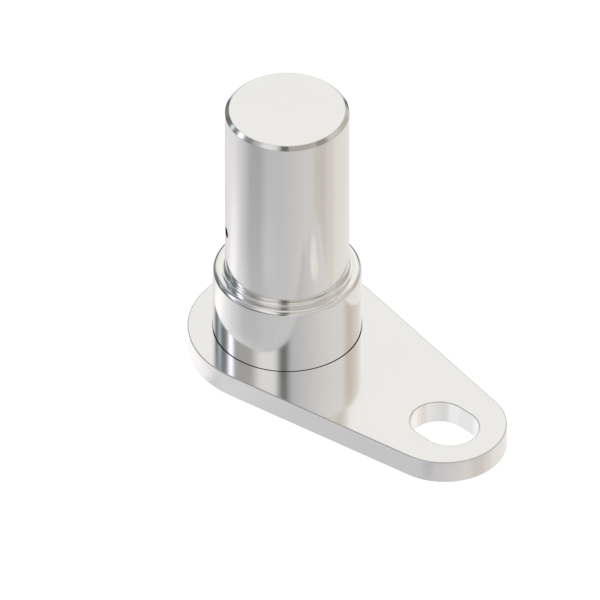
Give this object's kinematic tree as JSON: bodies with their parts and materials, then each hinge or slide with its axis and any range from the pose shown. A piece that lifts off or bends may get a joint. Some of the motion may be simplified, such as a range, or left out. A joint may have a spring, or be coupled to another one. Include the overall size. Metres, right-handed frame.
{
  "type": "pivot pin with flag plate",
  "caption": "Stepped round pivot pin welded into a teardrop flag plate with a slot for its retaining screw.",
  "frame": {"origin": "on the pin's axis, in the flag plate's back face", "axes": "+Z along the pin to its free end, +Y from the pin towards the slot in the plate's narrow end"},
  "size_m": [0.08, 0.1543, 0.121],
  "materials": {
    "polished_steel": "bright, finely ground and polished",
    "ground_plate": "bright, finely ground, edges broken",
    "weld_metal": "as welded, brushed clean"
  },
  "bodies": {
    "root": {"pin": "polished_steel", "flag_plate": "ground_plate", "weld": "weld_metal"}
  },
  "joints": []
}
